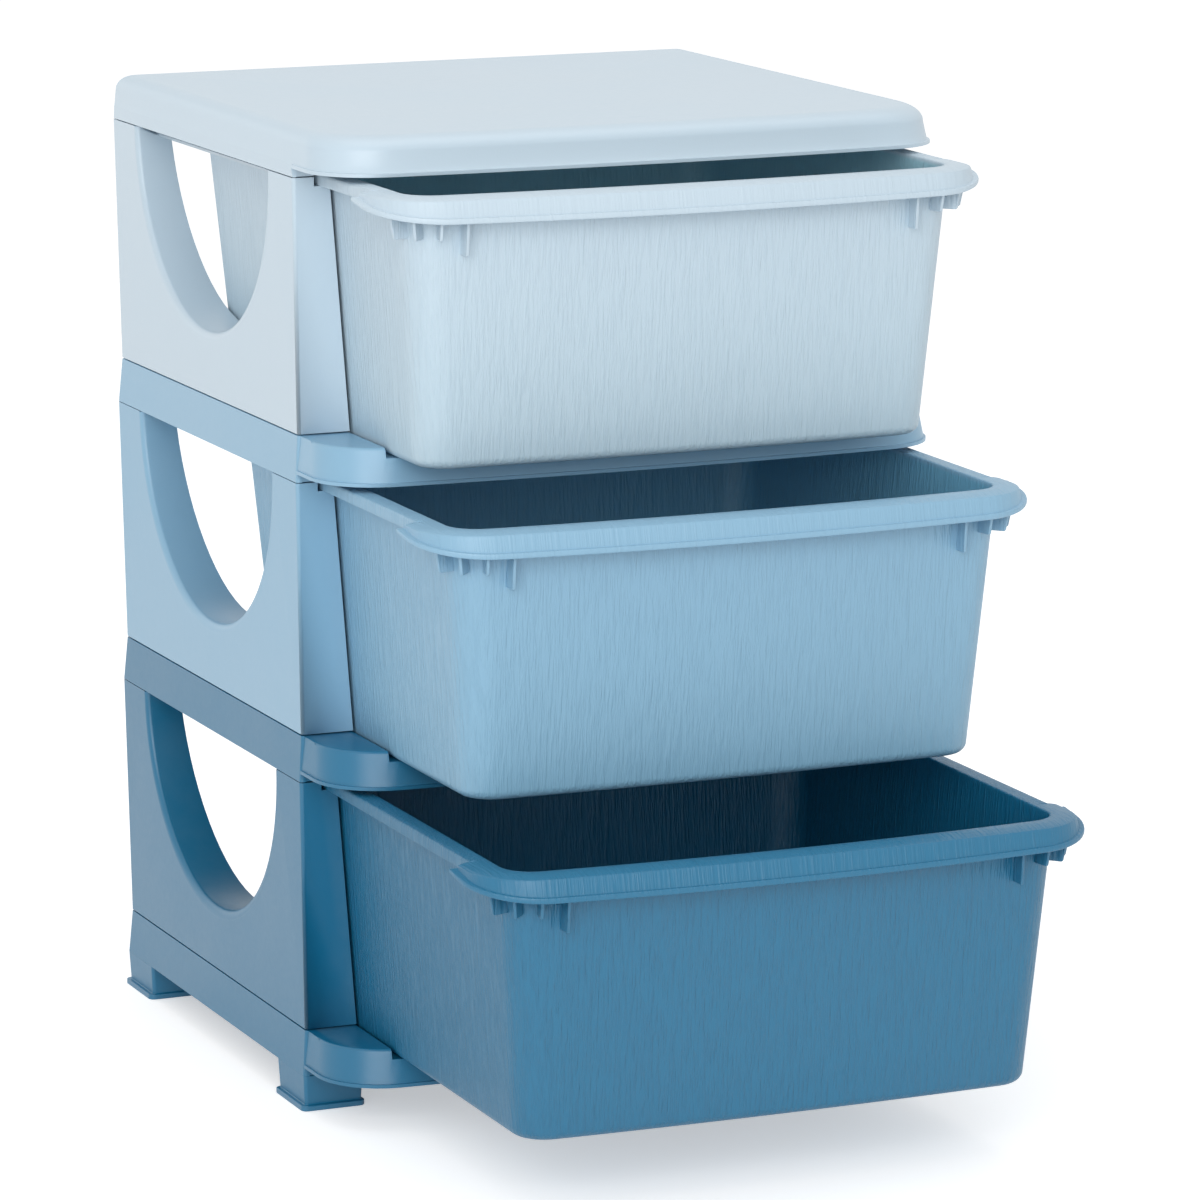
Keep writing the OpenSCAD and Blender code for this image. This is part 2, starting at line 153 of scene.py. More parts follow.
def plan_ring(w, rear, front, bow, rr, rf, side_y, n=9, n_bow=25):
    """Closed plan outline. The front is an arc of radius (xc^2 + bow^2) / (2 bow), where xc is
    the half width less the corner radius; both front corners are arcs tangent to it and to the
    straight sides, and the rear corners are quarter circles. The sides pass through side_y."""
    xc = w - rf
    big = (xc * xc + bow * bow) / (2 * bow)
    yb = big - front
    yc = yb - math.sqrt((big - rf) ** 2 - xc * xc)
    turn = math.degrees(math.atan2(yb - yc, xc))
    y = np.clip(np.asarray(side_y, float), yc + LEAST_STEP, rear - rr - LEAST_STEP)
    across = np.linspace(w - rr, rr - w, REAR_POINTS + 2)[1:-1]
    return np.concatenate([
        arc(w - rr, rear - rr, rr, 0, 90, n),
        np.stack([across, np.full(REAR_POINTS, rear)], axis=1),
        arc(rr - w, rear - rr, rr, 90, 180, n),
        np.stack([np.full(len(y), -w), y], axis=1),
        arc(-xc, yc, rf, 180, 180 + turn, n),
        arc(0, yb, big, 180 + turn, 360 - turn, n_bow + 2)[1:-1],
        arc(xc, yc, rf, 360 - turn, 360, n),
        np.stack([np.full(len(y), w), y[::-1]], axis=1)])


def smooth(mesh, degrees):
    mesh.polygons.foreach_set("use_smooth", np.ones(len(mesh.polygons), bool))
    mesh.set_sharp_from_angle(angle=math.radians(degrees))


def soften(piece, width, degrees=35):
    """Round off the edges of a piece that are sharper than an angle."""
    bevel = piece.modifiers.new("soft edges", "BEVEL")
    bevel.width = width
    bevel.segments = 2
    bevel.limit_method = "ANGLE"
    bevel.angle_limit = math.radians(degrees)
    bevel.harden_normals = True
    bevel.use_clamp_overlap = True


def closed_mesh(name, verts, faces, inside=None):
    """A smooth mesh without double points, its faces turned outwards. The painted shade values,
    one a point, are kept as an attribute that the drawers' materials read to paint shade into
    their colour."""
    mesh = bpy.data.meshes.new(name)
    mesh.from_pydata(verts, [], faces)
    mesh.validate()
    if inside is not None:
        attribute = mesh.attributes.new("inside", "FLOAT", "POINT")
        attribute.data.foreach_set("value", np.asarray(inside, np.float32))
    bm = bmesh.new()
    bm.from_mesh(mesh)
    bmesh.ops.remove_doubles(bm, verts=bm.verts, dist=DOUBLE)
    bmesh.ops.recalc_face_normals(bm, faces=bm.faces)
    bm.to_mesh(mesh)
    bm.free()
    smooth(mesh, 32)
    return mesh


def add_piece(mesh, material, body, node):
    """Put a mesh into the scene as a piece that rides on a body and replaces a CAD node."""
    piece = bpy.data.objects.new(mesh.name, mesh)
    bpy.context.scene.collection.objects.link(piece)
    mesh.materials.append(material)
    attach(piece, body)
    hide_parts(node)
    return piece


def swept_piece(name, rings, material, body, node, inside=None):
    """A closed piece from rings with the same number of points each. Quads join every ring to
    the next one, and a fan about its middle closes the first ring and the last one."""
    rows, cols = rings.shape[:2]
    i = np.arange(rows - 1)[:, None] * cols
    j = np.arange(cols)[None, :]
    k = (j + 1) % cols
    quads = np.stack([i + j, i + k, i + cols + k, i + cols + j], axis=-1).reshape(-1, 4)
    faces = [tuple(quad) for quad in quads.tolist()]
    verts = rings.reshape(-1, 3).tolist()
    for first, ring in ((0, rings[0]), ((rows - 1) * cols, rings[-1])):
        middle = len(verts)
        verts.append(ring.mean(0).tolist())
        faces += [(first + p, first + (p + 1) % cols, middle) for p in range(cols)]
    if inside is not None:
        inside = np.append(inside.ravel(), (1.0, 0.0))
    return add_piece(closed_mesh(name, verts, faces, inside), material, body, node)


# ---- Node groups ----

MIX_A, MIX_B, MIX_OUT = 6, 7, 2     # colour sockets of a Mix node
GROUPS = {}


def group(name, inputs, outputs):
    tree = bpy.data.node_groups.new(name, "ShaderNodeTree")
    for label, kind, value in inputs:
        tree.interface.new_socket(label, in_out="INPUT", socket_type=kind).default_value = value
    for label, kind in outputs:
        tree.interface.new_socket(label, in_out="OUTPUT", socket_type=kind)
    return tree, tree.nodes.new("NodeGroupInput"), tree.nodes.new("NodeGroupOutput")


def use_group(tree, maker):
    """A node that shows the group of a maker function; the group is made once."""
    if maker not in GROUPS:
        GROUPS[maker] = maker()
    n = tree.nodes.new("ShaderNodeGroup")
    n.node_tree = GROUPS[maker]
    return n


def feed(tree, socket, value):
    """Give an input socket a number or the output of another node."""
    if isinstance(value, bpy.types.NodeSocket):
        tree.links.new(value, socket)
    else:
        socket.default_value = value


def maths(tree, operation, a, b, clamp=False):
    n = tree.nodes.new("ShaderNodeMath")
    n.operation = operation
    n.use_clamp = clamp
    feed(tree, n.inputs[0], a)
    feed(tree, n.inputs[1], b)
    return n.outputs[0]


def above(tree, value, level, gain):
    """How far a value lies above a level, times a gain, kept between 0 and 1."""
    return maths(tree, "MULTIPLY", maths(tree, "SUBTRACT", value, level), gain, True)


def swing(tree, value, amount):
    """How far a noise lies from its middle value, a half, times an amount."""
    return maths(tree, "MULTIPLY", maths(tree, "SUBTRACT", value, 0.5), amount)


def noise(tree, vector, scale, detail, rough):
    n = tree.nodes.new("ShaderNodeTexNoise")
    n.inputs["Detail"].default_value = detail
    n.inputs["Roughness"].default_value = rough
    feed(tree, n.inputs["Vector"], vector)
    feed(tree, n.inputs["Scale"], scale)
    return n.outputs["Fac"]


def stretched(tree, scale=(1, 1, 1)):
    """Object coordinates with each axis scaled, so a noise can turn into streaks."""
    coord = tree.nodes.new("ShaderNodeTexCoord")
    mapping = tree.nodes.new("ShaderNodeMapping")
    feed(tree, mapping.inputs["Scale"], scale)
    feed(tree, mapping.inputs["Vector"], coord.outputs["Object"])
    return mapping.outputs["Vector"]


def tinted(tree, base, amount, tint, blend="MIX"):
    """A colour mixed with a tint, or multiplied by it, as far as the amount says."""
    mix = tree.nodes.new("ShaderNodeMix")
    mix.data_type = "RGBA"
    mix.blend_type = blend
    feed(tree, mix.inputs[0], amount)
    feed(tree, mix.inputs[MIX_A], base)
    feed(tree, mix.inputs[MIX_B], (*tint, 1))
    return mix.outputs[MIX_OUT]


def grain_group():
    """Wood-like moulding grain: fine streaks along the axis that Stretch squeezes, and a
    broader noise that breaks them up."""
    tree, gin, gout = group(
        "Moulded grain",
        [("Density", "NodeSocketFloat", 520.0),
         ("Stretch", "NodeSocketVector", (1, 1, 0.045))],
        [("Height", "NodeSocketFloat"), ("Streaks", "NodeSocketFloat")])
    vector = stretched(tree, gin.outputs["Stretch"])
    density = gin.outputs["Density"]
    fine = noise(tree, vector, density, 3.0, 0.6)
    broad = noise(tree, vector, maths(tree, "MULTIPLY", density, 0.22), 2.0, 0.5)
    streaks = above(tree, fine, 0.42, 3.2)
    height = maths(tree, "ADD", maths(tree, "MULTIPLY", streaks, 0.7),
                   maths(tree, "MULTIPLY", broad, 0.5))
    feed(tree, gout.inputs["Height"], height)
    feed(tree, gout.inputs["Streaks"], streaks)
    return tree


def haze_group():
    """Slow drift of tint and roughness that moulded plastic shows, with sparse fine scuffs."""
    tree, gin, gout = group(
        "Moulding haze",
        [("Colour", "NodeSocketColor", (0.5, 0.5, 0.5, 1)),
         ("Drift", "NodeSocketFloat", 0.06),
         ("Roughness", "NodeSocketFloat", 0.4),
         ("Scuffs", "NodeSocketFloat", 0.1)],
        [("Colour", "NodeSocketColor"), ("Roughness", "NodeSocketFloat")])
    slow = noise(tree, stretched(tree), 7.0, 3.0, 0.55)
    fine = noise(tree, stretched(tree), 260.0, 2.0, 0.5)
    lines = noise(tree, stretched(tree, (0.4, 1.0, 6.0)), 90.0, 4.0, 0.7)
    scuffs = maths(tree, "MULTIPLY", above(tree, lines, 0.66, 9.0), gin.outputs["Scuffs"])
    hsv = tree.nodes.new("ShaderNodeHueSaturation")
    feed(tree, hsv.inputs["Color"], gin.outputs["Colour"])
    feed(tree, hsv.inputs["Value"],
         maths(tree, "ADD", 1.0, swing(tree, slow, gin.outputs["Drift"])))
    rough = maths(tree, "ADD", gin.outputs["Roughness"], swing(tree, slow, 0.12))
    rough = maths(tree, "ADD", rough, swing(tree, fine, 0.08))
    feed(tree, gout.inputs["Colour"], hsv.outputs["Color"])
    feed(tree, gout.inputs["Roughness"], maths(tree, "ADD", rough, scuffs, True))
    return tree


def edge_group():
    """Colour with lighter patches along the raised edges, where handling polishes plastic."""
    tree, gin, gout = group(
        "Handled edges",
        [("Colour", "NodeSocketColor", (0.5, 0.5, 0.5, 1)),
         ("Amount", "NodeSocketFloat", 0.1)],
        [("Colour", "NodeSocketColor")])
    geometry = tree.nodes.new("ShaderNodeNewGeometry")
    raised = above(tree, geometry.outputs["Pointiness"], 0.53, 9.0)
    patches = noise(tree, stretched(tree), 55.0, 3.0, 0.6)
    mask = maths(tree, "MULTIPLY", raised, patches, True)
    amount = maths(tree, "MULTIPLY", mask, gin.outputs["Amount"])
    feed(tree, gout.inputs["Colour"],
         tinted(tree, gin.outputs["Colour"], amount, (0.9, 0.93, 0.95)))
    return tree


# ---- Materials ----

GRAIN_TINT = (0.68, 0.75, 0.80)
# Painted shade: multiplied into a drawer's inner walls, and a little into its outer walls
# towards the floor.
PAINTED_SHADE_TINT = (0.70, 0.95, 0.97)

# How the grain of each drawer part is scaled along X, Y and Z, and how strong it is.
GRAINS = {"tub": ((1, 1, 0.03), 1.0), "grip": ((1, 0.1, 0.03), 0.4)}
GRAIN_DEPTH = {"top": 0.18, "middle": 0.24, "bottom": 0.38}


def grained(tree, shown, bump, stretch, depth):
    """Add a drawer's grain to the bump, and to the colour the tint of its hollows. An attribute
    of painted shade then darkens the colour: it makes the inner walls deeper and greener with
    painted shade, and so, far less, the outer walls towards the floor."""
    grain = use_group(tree, grain_group)
    grain.inputs["Stretch"].default_value = stretch
    bump.inputs["Distance"].default_value = 0.0004 + 0.001 * depth
    bump.inputs["Strength"].default_value = 0.5 + depth
    feed(tree, bump.inputs["Height"], grain.outputs["Height"])
    amount = maths(tree, "MULTIPLY", grain.outputs["Streaks"], depth)
    shown = tinted(tree, shown, amount, GRAIN_TINT, "MULTIPLY")
    # Painted shade: the attribute darkens and greens the inner walls, and far less the outer
    # walls towards the floor.
    attribute = tree.nodes.new("ShaderNodeAttribute")
    attribute.attribute_name = "inside"
    return tinted(tree, shown, attribute.outputs["Fac"], PAINTED_SHADE_TINT, "MULTIPLY")


def moulded_plastic(name, rgb, roughness, stretch=None, depth=0.0):
    """Moulded polypropylene: haze and handled edges, and on a drawer the streaks of its grain,
    stretched along the axes and as deep as given; any other piece has a faint fine bump."""
    mat = bpy.data.materials.new(name)
    mat.use_nodes = True
    tree = mat.node_tree
    shader = tree.nodes["Principled BSDF"]
    shader.inputs["IOR"].default_value = 1.54
    shader.inputs["Specular IOR Level"].default_value = 0.65
    haze = use_group(tree, haze_group)
    haze.inputs["Colour"].default_value = (*rgb, 1)
    haze.inputs["Roughness"].default_value = roughness
    edges = use_group(tree, edge_group)
    feed(tree, edges.inputs["Colour"], haze.outputs["Colour"])
    shown = edges.outputs["Colour"]
    bump = tree.nodes.new("ShaderNodeBump")
    if stretch:
        shown = grained(tree, shown, bump, stretch, depth)
    else:
        bump.inputs["Distance"].default_value = 0.0003
        bump.inputs["Strength"].default_value = 0.12
        feed(tree, bump.inputs["Height"], noise(tree, stretched(tree), 900.0, 2.0, 0.5))
    feed(tree, shader.inputs["Base Color"], shown)
    feed(tree, shader.inputs["Roughness"], haze.outputs["Roughness"])
    feed(tree, shader.inputs["Normal"], bump.outputs["Normal"])
    return mat


def finish_of(tier, part):
    """The material of a tier's smooth shell or grained drawer part, made once."""
    name = f"{part}_{tier}_plastic"
    made = bpy.data.materials.get(name)
    if made:
        return made
    colours = bpy.context.scene.tower_colours
    rgb = {"top": colours.pale, "middle": colours.middle, "bottom": colours.deep}[tier]
    if part not in GRAINS:
        return moulded_plastic(name, rgb, 0.38)
    stretch, share = GRAINS[part]
    return moulded_plastic(name, rgb, 0.42, stretch, GRAIN_DEPTH[tier] * share)


# ---- Drawers ----

SHARPEST = 0.002        # least radius of the tub's upright corners on their inner side
WALL_RINGS = 7          # rings of each of the tub's inner floor rounding and inner walls
RIM_ROUND = 0.001       # rounding of the tub's inner rim
WALL_TOP = 0.0028       # how far below the rim the outer walls begin
FLANGE_GROWTH = 0.004   # corner radius of the flange over that of the tub
FLANGE_FRONT = 0.002    # how far the flange's outline passes the tub's front
FLANGE_END = -0.1638    # where the flange gives way to the handle lip, drawer closed
OUTER_SHADE = 0.25      # painted shade of the outer walls at the floor
SIDE_Y = (0.1, 0.05, 0.0, -0.05, -0.1, -0.14, FLANGE_END + 0.001, FLANGE_END - 0.0012)

GRIP_POINTS = 14        # points of each corner of the handle lip's outline
GRIP_END_WALL = 0.0022  # thickness of the walls at its rear ends
UNDERSIDE = 14          # point of its section where the lower edge turns inwards
RIB_ANGLES = (11, 42, 74)


def tub_ring(s, height, z, inset):
    """Plan outline of the tub at height z: every wall leans in towards the floor."""
    k = height - z
    corner = max(s.corner - inset, SHARPEST)
    return plan_ring(s.half_width - s.side_lean * k - inset, s.rear - s.rear_lean * k - inset,
                     s.grip_front - s.grip_reach - s.front_lean * k - inset,
                     s.bow - s.bow_loss * k, corner, corner, SIDE_Y)


def tub_surface(s, height):
    """The tub as one closed sweep of rings: inner floor, inner walls, rim, turned-down flange,
    outer walls and outer floor. The flange fades out where the handle lip takes over. Also
    returns each point's amount of painted shade: 1 on the inner side, and on the outer side a
    little, growing towards the floor."""
    rings = []

    def add(xy, z):
        rings.append(np.column_stack([xy, np.broadcast_to(z, len(xy))]))

    # The inner side: floor rounding, walls from 20 mm up to 3 mm below the rim, rim rounding.
    r = s.floor_round - s.wall
    for a in np.radians(np.linspace(0, 90, WALL_RINGS)):
        z = s.wall + r * (1 - np.cos(a))
        add(tub_ring(s, height, z, s.wall + r * (1 - np.sin(a))), z)
    for z in np.linspace(0.02, height - 0.003, WALL_RINGS):
        add(tub_ring(s, height, z, s.wall), z)
    for a in np.radians((0, 30, 60, 90)):
        z = height - RIM_ROUND * (1 - np.sin(a))
        add(tub_ring(s, height, z, s.wall - RIM_ROUND * (1 - np.cos(a))), z)
    wall = tub_ring(s, height, height, 0)
    corner = s.corner + FLANGE_GROWTH
    edge = plan_ring(s.half_width + s.flange, s.rear + s.flange_rear,
                     s.grip_front - s.grip_reach + FLANGE_FRONT, s.bow, corner, corner, SIDE_Y)
    here = (wall[:, 1] > FLANGE_END).astype(float)
    drop = s.flange_drop
    # Section of the flange: share of its width, height over the rim.
    section = [(0.0, 0.0), (0.5, 0.0), (0.8, -0.0001), (0.93, -0.0005), (0.99, -0.0012),
               (1.0, -0.0022), (1.0, 0.0008 - drop), (0.97, -drop), (0.81, -drop),
               (0.78, 0.0005 - drop), (0.77, -0.0034), (0.72, -0.0024), (0.62, -0.002),
               (0.1, -0.002), (0.0, -WALL_TOP)]
    for i, (share, z) in enumerate(section):
        w = (share * here)[:, None]
        level = height + z * here - (1 - here) * WALL_TOP * i / (len(section) - 1)
        add(wall * (1 - w) + edge * w, level)
    # The outer side: walls from 8 mm below the rim down, floor rounding.
    for z in np.linspace(height - 0.008, s.floor_round, 9):
        add(tub_ring(s, height, z, 0), z)
    for a in np.radians(np.linspace(12, 90, 7)):
        z = s.floor_round * (1 - np.sin(a))
        add(tub_ring(s, height, z, s.floor_round * (1 - np.cos(a))), z)
    rings = np.array(rings)
    # Painted shade: full on the inner side, and on the outer walls growing towards the floor.
    inside = OUTER_SHADE * (1 - rings[..., 2] / height)
    inside[:2 * WALL_RINGS] = 1.0
    return rings, inside


def grip_section(s, t):
    """Closed section of the handle lip for every step t from its rear end (0) to the front (1),
    as shares of the way from tub rim to bead and heights over the rim. The lower edge falls in
    a straight line from end to front."""
    low = -(s.grip_end + (s.grip_height - s.grip_end) * t)
    top = low + s.grip_bead * (0.7 + 0.3 * t)
    face = 0.745 + 0.125 * t
    section = [(-0.06, -0.0003), (0.0, 0.0), (0.3, -0.00035), (0.55, -0.001), (0.66, -0.00145),
               (0.715, -0.0018), (0.745, -0.002 - 0.0007 * t), (face, top + 0.0004),
               (face + 0.02, top), (0.955, top), (0.988, top - 0.0003), (1.0, top - 0.0009),
               (1.0, low + 0.0009), (0.985, low + 0.0003), (0.95, low), (face - 0.03, low),
               (face - 0.08, low + 0.0002), (face - 0.115, low + 0.0008),
               (face - 0.13, low + 0.0016 + 0.0018 * t), (0.60, -0.0041 - 0.001 * t),
               (0.56, -0.0037), (0.48, -0.0035), (0.1, -0.0028), (-0.06, -0.0028)]
    share, level = (np.stack([np.broadcast_to(value, t.shape) for value in column], axis=1)
                    for column in zip(*section))
    return share, level


def grip_surface(s, height):
    """The handle lip: its section is carried along the bead outline, from one rear end around
    the front to the other; the first steps at each end are filled and form the end wall."""
    end = -s.grip_rear
    args = {"side_y": (end, end - GRIP_END_WALL, end - GRIP_END_WALL - 1e-5, end - 0.004),
            "n": GRIP_POINTS, "n_bow": 33}
    bead = plan_ring(s.grip_half, -0.1, s.grip_front, s.grip_bow, 0.01, s.grip_corner, **args)
    wall = plan_ring(s.half_width, -0.1, s.grip_front - s.grip_reach, s.bow, 0.01, s.corner,
                     **args)
    rear = 2 * GRIP_POINTS + REAR_POINTS
    bead, wall = bead[rear:], wall[rear:]
    t = np.clip((end - bead[:, 1]) / (s.grip_front - s.grip_rear), 0, 1)
    share, level = grip_section(s, t)
    solid = [0, 1, -2, -1]
    level[solid, UNDERSIDE + 1:] = level[solid, UNDERSIDE, None]
    xy = wall[:, None, :] * (1 - share[..., None]) + bead[:, None, :] * share[..., None]
    return np.concatenate([xy, (height + level)[..., None]], axis=-1)


def rib_plate(origin, angle, profile, thickness):
    """An upright plate: a profile of (outwards, height) pairs given a thickness, turned about
    Z by an angle and moved to its place."""
    u, z = np.array(profile).T
    c, n = math.cos(angle), math.sin(angle)
    out = np.array([n, -c])
    along = np.array([c, n])
    sides = []
    for side in (-0.5, 0.5):
        xy = np.array(origin)[None, :] + u[:, None] * out + side * thickness * along
        sides.append(np.column_stack([xy, z]))
    return np.concatenate(sides)


def plate_faces(count, start):
    """Faces of a plate with count points on either side, numbered on from start."""
    a = list(range(start, start + count))
    b = list(range(start + count, start + 2 * count))
    sides = [(a[i], a[(i + 1) % count], b[(i + 1) % count], b[i]) for i in range(count)]
    return [tuple(reversed(a)), tuple(b)] + sides


def drawer_ribs(s, height, name, offset):
    """Mesh of the ribs below the handle lip: at either side a long one behind the front and
    three short ones around the corner. Their inner ends follow the leaning wall."""
    xc = s.half_width - s.corner
    yc = s.corner + s.grip_bow + s.grip_reach - s.grip_front
    spots = [(xc - 0.01, 0.0205 - s.grip_front, 0.0, s.rib_drop)]
    for angle in np.radians(RIB_ANGLES):
        spots.append((xc + s.corner * math.sin(angle), yc - s.corner * math.cos(angle), angle,
                      s.rib_short))
    verts, faces = [], []
    for x, y, angle, drop in spots:
        # Reach outwards from the rim, and height.
        profile = [(-0.0015, height - 0.003), (0.0085, height - 0.0042),
                   (0.0085, height - s.grip_height - 0.0005), (0.0068, height - drop + 0.0008),
                   (0.0062, height - drop), (-0.0012 - 0.09 * drop, height - drop)]
        for side in (1, -1):
            faces += plate_faces(len(profile), len(verts))
            verts += (rib_plate((side * x, y), side * angle, profile, s.rib) + offset).tolist()
    return closed_mesh(name, verts, faces)


def build_drawer(tier):
    s = bpy.context.scene.drawer_sizes
    node = f"drawer_{tier}"
    body = f"{tier}_drawer"
    low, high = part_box(node)
    height = high.z - low.z
    offset = np.array((0.0, low.y + s.grip_front, low.z))
    rings, inside = tub_surface(s, height)
    tub = finish_of(tier, "tub")
    swept_piece(f"{node}_tub", rings + offset, tub, body, node, inside)
    swept_piece(f"{node}_handle_lip", grip_surface(s, height) + offset,
                finish_of(tier, "grip"), body, node)
    ribs = add_piece(drawer_ribs(s, height, f"{node}_lip_ribs", offset), tub, body, node)
    soften(ribs, 0.0005)


# ---- Lid ----

LIP_BEAD = 0.0009       # how far the bead along the lip's lower edge stands out
LIP_SETBACK = 0.003     # how far the lip's wall lies behind its front, below the rounding


def lid_ring(s, side, front):
    side_y = (0.1, 0.05, 0.0, -0.05, -0.1, -0.14, 1e-5 - s.half_depth, -1e-5 - s.half_depth,
              -0.17)
    return plan_ring(s.half_width - side, s.half_depth - side, s.lip_front - front, s.lip_bow,
                     s.edge, s.lip_corner, side_y, n=12, n_bow=33)


def lid_surface(s, height):
    """The lid as a closed sweep. Above the leaning walls a ring at an angle a rises by
    sin a and draws in by 1 - cos a, each times the height and width of the rounding; the
    underside repeats it one wall further in."""
    shoulder = height - s.lid_round
    rings = []
    forward = lid_ring(s, 0, 0)[:, 1] < -s.half_depth
    edge = np.where(forward, s.lip_step, 0.0)

    def add(side, front, z, proud=0.0):
        xy = lid_ring(s, side, front)
        if proud:
            out = lid_ring(s, side - proud, front - proud)
            xy = np.where(forward[:, None], out, xy)
        rings.append(np.column_stack([xy, np.broadcast_to(z, len(xy))]))

    def rounded(inset, degrees):
        for a in np.radians(degrees):
            draw = 1 - math.cos(a)
            add(inset + s.lid_draft + s.lid_edge * draw,
                inset + s.lid_draft + LIP_SETBACK + s.lid_brow * draw,
                shoulder + (s.lid_round - inset) * math.sin(a))

    rounded(0.0, np.linspace(90, 0, 13))
    # Down the walls, over the bead and around the lower edge: inset of the sides, inset of the
    # front, height, bead.
    add(0.0007, 0.0023, (shoulder + s.lip_step) / 2)
    add(0.0004, 0.0007, s.lip_step + 0.0028)
    add(0.0003, 0.0004, s.lip_step + 0.0024)
    add(0.0003, 0.0, s.lip_step + 0.0021, LIP_BEAD)
    add(0.0001, 0.0, edge + 0.0008, LIP_BEAD)
    add(0.0, 0.0001, edge + 0.0002, LIP_BEAD)
    add(0.0006, 0.0006, edge)
    add(s.wall - 0.0005, s.wall - 0.0005, edge)
    add(s.wall, s.wall, edge + 0.0005)
    rounded(s.wall, np.linspace(0, 90, 8))
    return np.array(rings)


def build_lid():
    s = bpy.context.scene.tower_sizes
    low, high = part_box("lid")
    offset = np.array((0.0, high.y - s.half_depth, low.z))
    swept_piece("lid_shell", lid_surface(s, high.z - low.z) + offset, finish_of("top", "shell"),
                "tower", "lid")
    skirt_returns("lid", "top")


# ---- Pieces that keep the form of their CAD solid ----

PANEL_TAB = 0.006       # from a panel's lowest face to the shelf below it
PANEL_LUG = 0.008       # from a panel's highest face to the shelf above it
MERGE = 2e-5            # points of a CAD solid closer than this count as one
SLIVER = 5e-6           # width up to which a finished shell's slivers are closed
TOUCH = 1e-4            # how close a point lies to a face that it is part of
UPRIGHT = 0.12          # least rise of a panel's long upright edges


def merged_copy(node):
    """A merged copy of a node's CAD solid, its flat faces joined into one each."""
    bm = bmesh.new()
    bm.from_mesh(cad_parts[node].data)
    bmesh.ops.remove_doubles(bm, verts=bm.verts, dist=MERGE)
    bmesh.ops.dissolve_limit(bm, angle_limit=math.radians(0.2), verts=bm.verts, edges=bm.edges)
    return bm


def round_edges(bm, width, segments, degrees, picked):
    """Round off the edges sharper than an angle whose two end points are picked."""
    edges = [e for e in bm.edges if len(e.link_faces) == 2
             and e.calc_face_angle() > math.radians(degrees)
             and picked(*(v.co for v in e.verts))]
    bmesh.ops.bevel(bm, geom=edges, offset=width, offset_type="OFFSET", segments=segments,
                    profile=0.5, affect="EDGES", clamp_overlap=True)


def shell_piece(bm, node, tier, edge=0.0):
    """Make a piece of a reworked copy, with all its sharp edges softened by a given width."""
    mesh = bpy.data.meshes.new(f"{node}_shell")
    bm.to_mesh(mesh)
    bm.free()
    smooth(mesh, 45)
    piece = add_piece(mesh, finish_of(tier, "shell"), "tower", node)
    if edge:
        soften(piece, edge, degrees=48)
    weld = piece.modifiers.new("close slivers", "WELD")
    weld.merge_threshold = SLIVER
    even = piece.modifiers.new("even shading", "WEIGHTED_NORMAL")
    even.keep_sharp = True


def build_panel(node, tier):
    """A side panel with rounded upright edges. Its upper and lower outer faces are drawn back,
    so that a dark seam stays between it and its neighbours."""
    s = bpy.context.scene.tower_sizes
    low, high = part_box(node)
    bm = merged_copy(node)
    round_edges(bm, s.soft_edge, 3, 60, lambda a, b: abs(a.z - b.z) > UPRIGHT)
    lower, upper = s.seam, 0.7 * s.seam
    for v in bm.verts:
        if abs(v.co.z - low.z - PANEL_TAB) < TOUCH:
            v.co.z += lower
        elif abs(v.co.z - high.z + PANEL_LUG) < TOUCH:
            v.co.z -= upper
    shell_piece(bm, node, tier)
    cut_out_rim(node, tier)


def build_shelf(node, tier):
    """A shelf or the base, with a wider rounding along the top edge of its lip."""
    s = bpy.context.scene.tower_sizes
    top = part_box(node)[1].z - TOUCH
    lip_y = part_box("lid")[1].y - 2 * s.half_depth - 0.0005
    bm = merged_copy(node)
    round_edges(bm, s.lip_edge, 4, 40,
                lambda a, b: max(a.y, b.y) < lip_y and min(a.z, b.z) > top)
    shell_piece(bm, node, tier, s.soft_edge)
    skirt_returns(node, tier)


def build_foot(node):
    shell_piece(merged_copy(node), node, "bottom", bpy.context.scene.tower_sizes.soft_edge)


def cut_out_rim(node, tier):
    """The rounded rim of a side cut-out. Its section is a quarter ellipse, wider towards the
    lowest point, with a flat tongue at either end, one along the skin and one along the return
    wall; it is carried along the lower half of an ellipse and leans with the skin."""
    s = bpy.context.scene.tower_sizes
    low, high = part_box(node)
    side = 1 if high.x > 0 else -1
    top = high.z - PANEL_LUG
    height = top - low.z - PANEL_TAB
    proud = 0.00003     # how far the rim stands out from the skin and the return wall
    thick = 0.001       # thickness of its tongues
    margin = 0.0004     # height of the skin's upright strips above and below its lean
    r = s.cut_round
    around = np.radians(np.linspace(0.4, 179.6, 73))[:, None]
    turn = np.radians(np.linspace(0, 90, 9))[None, :]
    one = np.ones_like(around)
    fall = s.cut_fall * np.sin(around)
    tongue = r + fall + margin
    # Section: reach outwards from the cut-out's edge, and depth below the skin. It runs over
    # the outer tongue, the rounding and the inner tongue, and back behind them.
    grow = np.concatenate([tongue,
                           (r + 0.6 * fall) * (1 - np.sin(turn)) - proud * np.sin(turn),
                           -proud * one, thick * one, thick * one, tongue], axis=1)
    deep = np.concatenate([-proud * one,
                           one * (r * (1 - np.cos(turn)) - proud * np.cos(turn)),
                           (r + 0.0012) * one, (r + 0.0012) * one, 0.0018 * one,
                           thick * one], axis=1)
    y = (low.y + high.y) / 2 + (s.cut_half + grow) * np.cos(around)
    z = top - (s.cut_depth + grow) * np.sin(around)
    lean = s.lean * np.clip((top - margin - z) / (height - 2 * margin), 0, 1)
    rings = np.stack([side * (s.half_width - lean - deep), y, z], axis=-1)
    swept_piece(f"{node}_rim", rings, finish_of(tier, "shell"), "tower", node)


